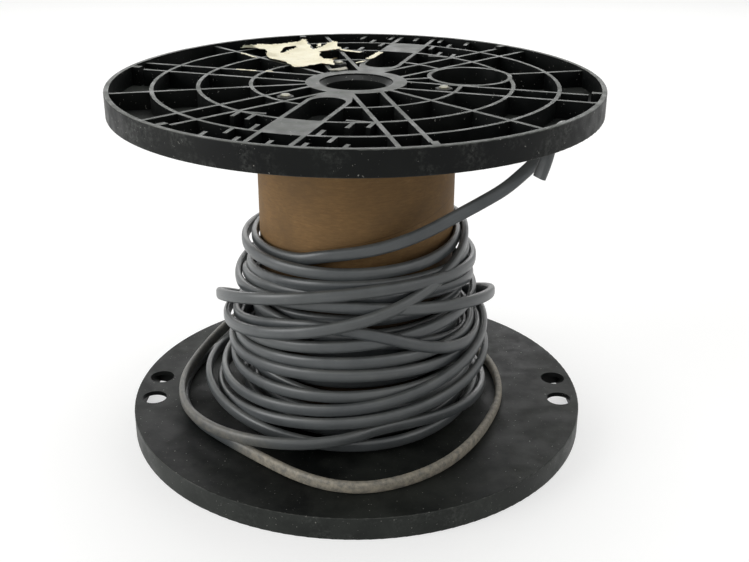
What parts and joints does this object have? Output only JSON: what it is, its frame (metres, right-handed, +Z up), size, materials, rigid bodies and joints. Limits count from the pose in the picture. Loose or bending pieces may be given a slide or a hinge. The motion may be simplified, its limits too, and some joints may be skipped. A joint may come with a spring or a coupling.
{
  "type": "plastic cable reel",
  "caption": "Black moulded plastic cable reel with ribbed flanges and a cardboard barrel, standing on end, partly wound with loose grey flat cable.",
  "frame": {"origin": "centre of the lower flange's rim where it stands on the floor", "axes": "+Z up along the reel's arbor axis, +X to the right and +Y to the back as the picture shows it"},
  "size_m": [0.4064, 0.4064, 0.3095],
  "materials": {
    "black_plastic": "moulded",
    "cardboard": "kraft paper, spirally wound",
    "paper": "torn, matt",
    "cable_sheath": "satin, extruded",
    "zinc_steel": "zinc plated, dull"
  },
  "bodies": {
    "root": {"lower_flange": "black_plastic", "upper_flange": "black_plastic", "barrel": "cardboard", "label_remnant": "paper", "cable_winding": "cable_sheath", "cable_low_loop": "cable_sheath", "cable_left_loop": "cable_sheath", "cable_tail": "cable_sheath", "tie_rod_1": "zinc_steel", "upper_nut_1": "zinc_steel", "lower_nut_1": "zinc_steel", "tie_rod_2": "zinc_steel", "upper_nut_2": "zinc_steel", "lower_nut_2": "zinc_steel", "tie_rod_3": "zinc_steel", "upper_nut_3": "zinc_steel", "lower_nut_3": "zinc_steel"}
  },
  "joints": []
}
